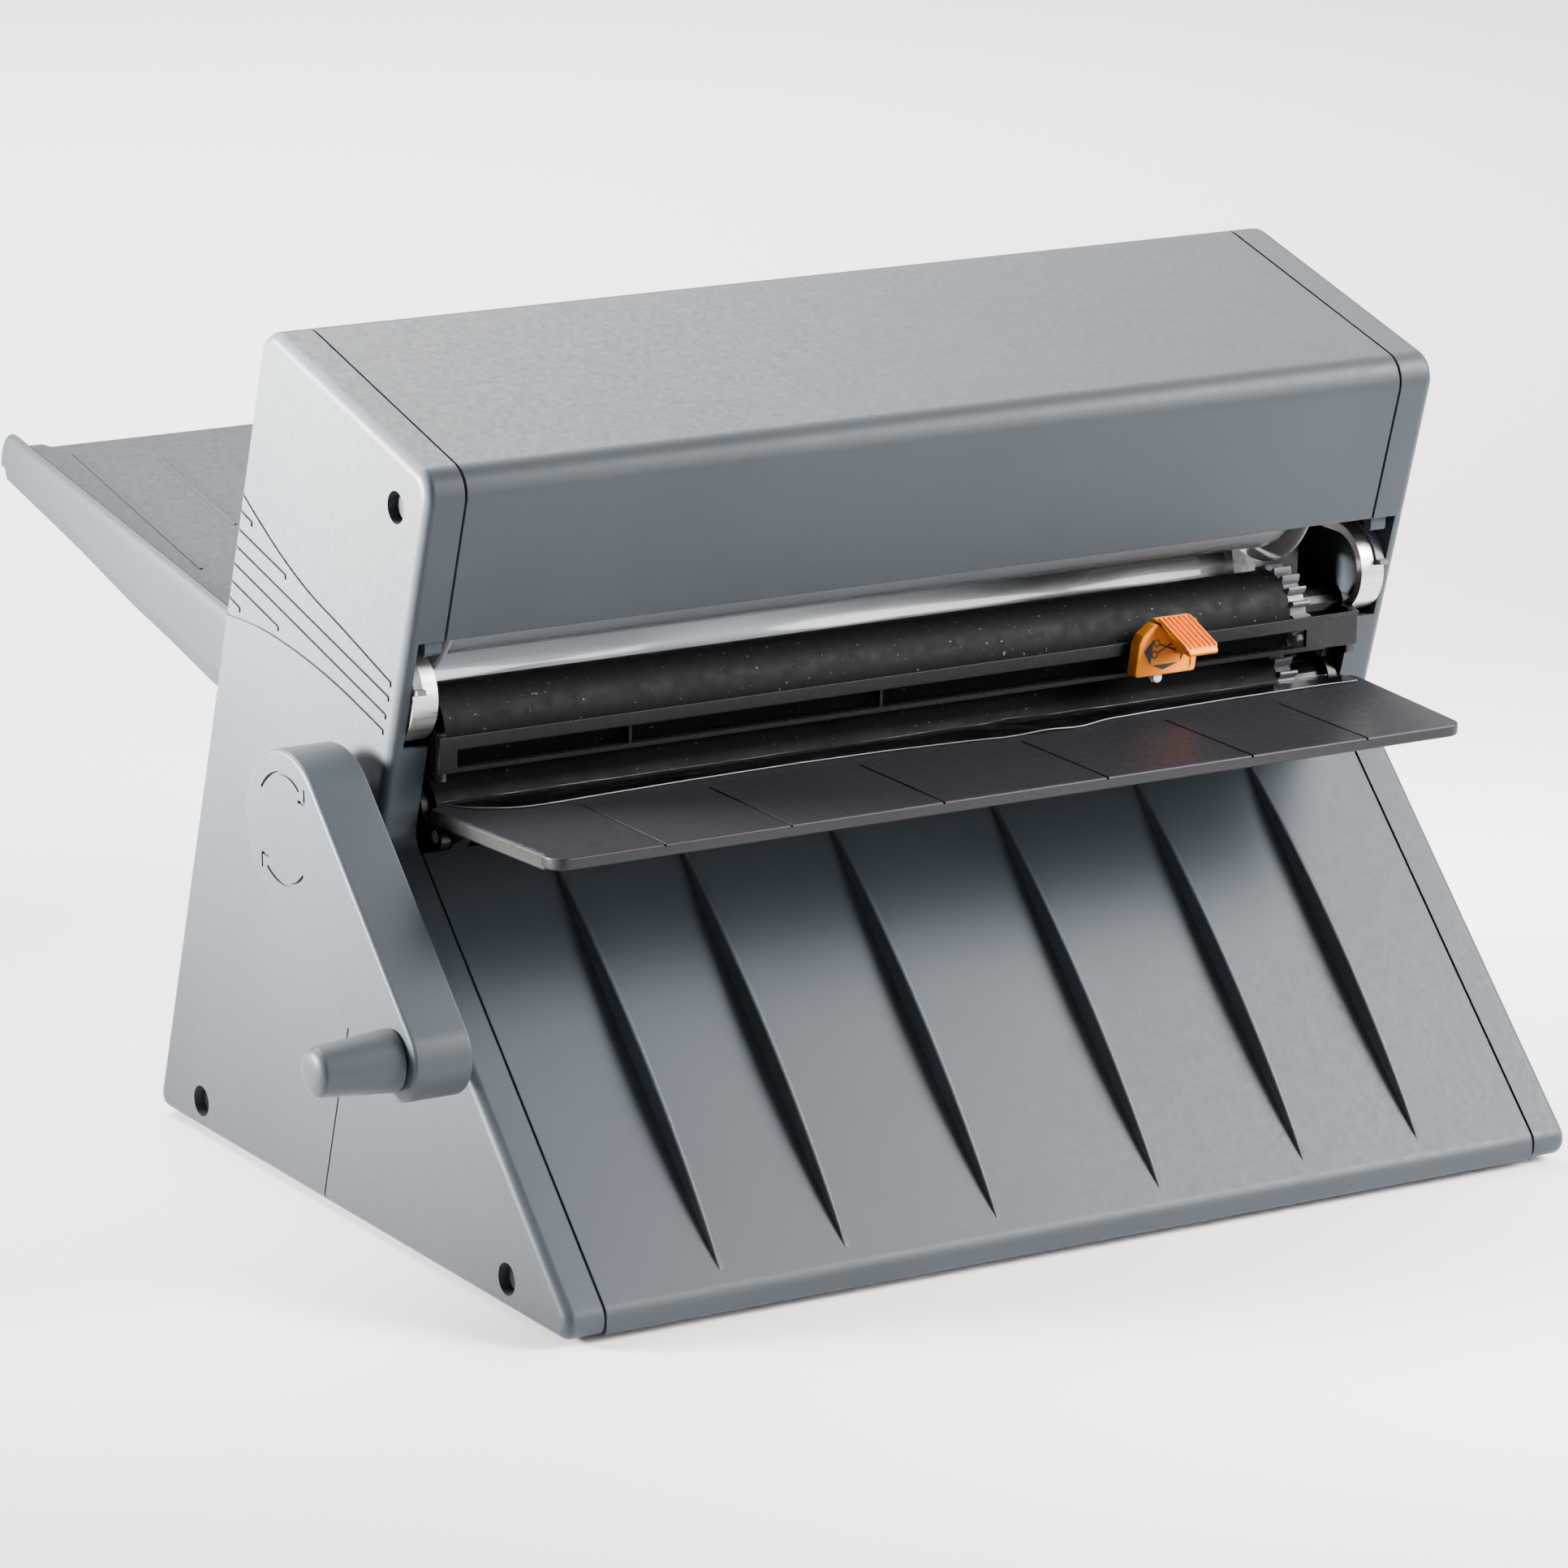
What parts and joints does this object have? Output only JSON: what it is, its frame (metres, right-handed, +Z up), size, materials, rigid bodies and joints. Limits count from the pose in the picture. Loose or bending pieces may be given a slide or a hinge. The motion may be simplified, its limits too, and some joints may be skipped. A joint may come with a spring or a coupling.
{
  "type": "cold roll laminator",
  "caption": "Tabletop hand-cranked cold laminator: wedge housing with end caps, hinged cover, geared nip rollers, film rolls, sliding cutter, folding feed and exit trays.",
  "frame": {"origin": "on the ground under the centre of the whole object's box", "axes": "+X along the rollers to the right as the user sees the exit side, +Y from the exit side to the feed side, +Z up"},
  "size_m": [0.438, 0.4118, 0.2785],
  "materials": {
    "housing_plastic": "fine matt texture, blue-grey",
    "feed_tray_plastic": "smooth satin, blue-grey",
    "exit_tray_plastic": "satin, charcoal",
    "black_plastic": "satin, black",
    "rubber_foot": "matt, black",
    "black_rubber": "ground smooth, black",
    "bright_steel": "brushed along its length",
    "galvanised_steel": "zinc plated sheet",
    "grey_nylon": "moulded, light grey",
    "orange_plastic": "moulded, orange",
    "white_plastic": "moulded, white",
    "clear_plastic": "clear, glossy",
    "film_roll": "wound clear film, glossy",
    "smoke_plastic": "translucent smoke grey",
    "core_board": "wound paper board, matt"
  },
  "bodies": {
    "chassis": {"base_plate": "galvanised_steel", "foot_front_left": "rubber_foot", "foot_front_right": "rubber_foot", "foot_rear_left": "rubber_foot", "foot_rear_right": "rubber_foot", "side_frame_left": "black_plastic", "side_frame_right": "black_plastic", "cutter_rail": "black_plastic", "upper_bearing_left": "black_plastic", "upper_bearing_right": "black_plastic", "lower_bearing_left": "black_plastic", "lower_bearing_right": "black_plastic", "end_cap_left": "housing_plastic", "end_cap_right": "housing_plastic", "front_panel": "housing_plastic", "feed_guide": "housing_plastic", "rear_lower_panel": "housing_plastic", "rear_upper_panel": "housing_plastic", "cover_hinge_pin_left": "bright_steel", "cover_hinge_pin_right": "bright_steel", "feed_tray_pin_left": "bright_steel", "feed_tray_pin_right": "bright_steel", "exit_tray_pin_left": "bright_steel", "exit_tray_pin_right": "bright_steel", "pressure_band_left": "bright_steel", "pressure_band_right": "bright_steel", "cap_screw_left_top": "bright_steel", "cap_screw_left_rear": "bright_steel", "cap_screw_left_front": "bright_steel", "cap_screw_right_top": "bright_steel", "cap_screw_right_rear": "bright_steel", "cap_screw_right_front": "bright_steel", "band_clip_left": "grey_nylon", "band_clip_right": "grey_nylon"},
    "cover": {"top_cover": "housing_plastic"},
    "feed_tray_body": {"feed_tray": "feed_tray_plastic"},
    "exit_tray_body": {"exit_tray": "exit_tray_plastic", "tray_edge_guide": "clear_plastic", "film_web": "clear_plastic"},
    "cutter": {"cutter_body": "orange_plastic", "cutter_grip": "orange_plastic", "cutter_blade": "bright_steel", "cutter_foot": "white_plastic"},
    "lower_roller": {"lower_roller_shaft": "bright_steel", "lower_roller_rubber": "black_rubber", "lower_roller_gear": "grey_nylon", "crank_arm": "housing_plastic", "crank_knob_pin": "bright_steel"},
    "knob": {"crank_knob": "housing_plastic"},
    "upper_roller": {"upper_roller_shaft": "bright_steel", "upper_roller_rubber": "black_rubber", "upper_roller_gear": "grey_nylon"},
    "upper_supply": {"upper_supply_core": "core_board", "upper_supply_film": "film_roll", "upper_supply_flange_left": "smoke_plastic", "upper_supply_flange_right": "smoke_plastic"},
    "lower_supply": {"lower_supply_core": "core_board", "lower_supply_film": "film_roll", "lower_supply_flange_left": "smoke_plastic", "lower_supply_flange_right": "smoke_plastic"}
  },
  "joints": [
    {"name": "crank_turn", "type": "hinge", "parent": "chassis", "child": "lower_roller", "pos_m": [0, -0.078, 0.136], "axis": [1, 0, 0], "continuous": true},
    {"name": "knob_spin", "type": "hinge", "parent": "lower_roller", "child": "knob", "pos_m": [0, -0.1492, 0.081], "axis": [1, 0, 0], "continuous": true},
    {"name": "upper_roller_spin", "type": "hinge", "parent": "chassis", "child": "upper_roller", "pos_m": [0, -0.0825, 0.1636], "axis": [1, 0, 0], "continuous": true},
    {"name": "upper_supply_spin", "type": "hinge", "parent": "chassis", "child": "upper_supply", "pos_m": [0, -0.0689, 0.211], "axis": [1, 0, 0], "continuous": true},
    {"name": "lower_supply_spin", "type": "hinge", "parent": "chassis", "child": "lower_supply", "pos_m": [0, -0.0459, 0.098], "axis": [1, 0, 0], "continuous": true},
    {"name": "cover_hinge", "type": "hinge", "parent": "chassis", "child": "cover", "pos_m": [0, -0.01785, 0.26845], "axis": [-1, 0, 0], "range_deg": [0, 100]},
    {"name": "feed_tray_fold", "type": "hinge", "parent": "chassis", "child": "feed_tray_body", "pos_m": [0, 0.0321, 0.152], "axis": [1, 0, 0], "range_deg": [0, 80]},
    {"name": "exit_tray_fold", "type": "hinge", "parent": "chassis", "child": "exit_tray_body", "pos_m": [0, -0.0974, 0.1326], "axis": [1, 0, 0], "range_deg": [0, 50]},
    {"name": "cutter_slide", "type": "slide", "parent": "chassis", "child": "cutter", "axis": [1, 0, 0], "range_m": [-0.245, 0.048]}
  ],
  "couplings": [
    {"joint": "upper_roller_spin", "follows": "crank_turn", "ratio": -1},
    {"joint": "upper_supply_spin", "follows": "crank_turn", "ratio": -0.4929},
    {"joint": "lower_supply_spin", "follows": "crank_turn", "ratio": 0.4929}
  ]
}
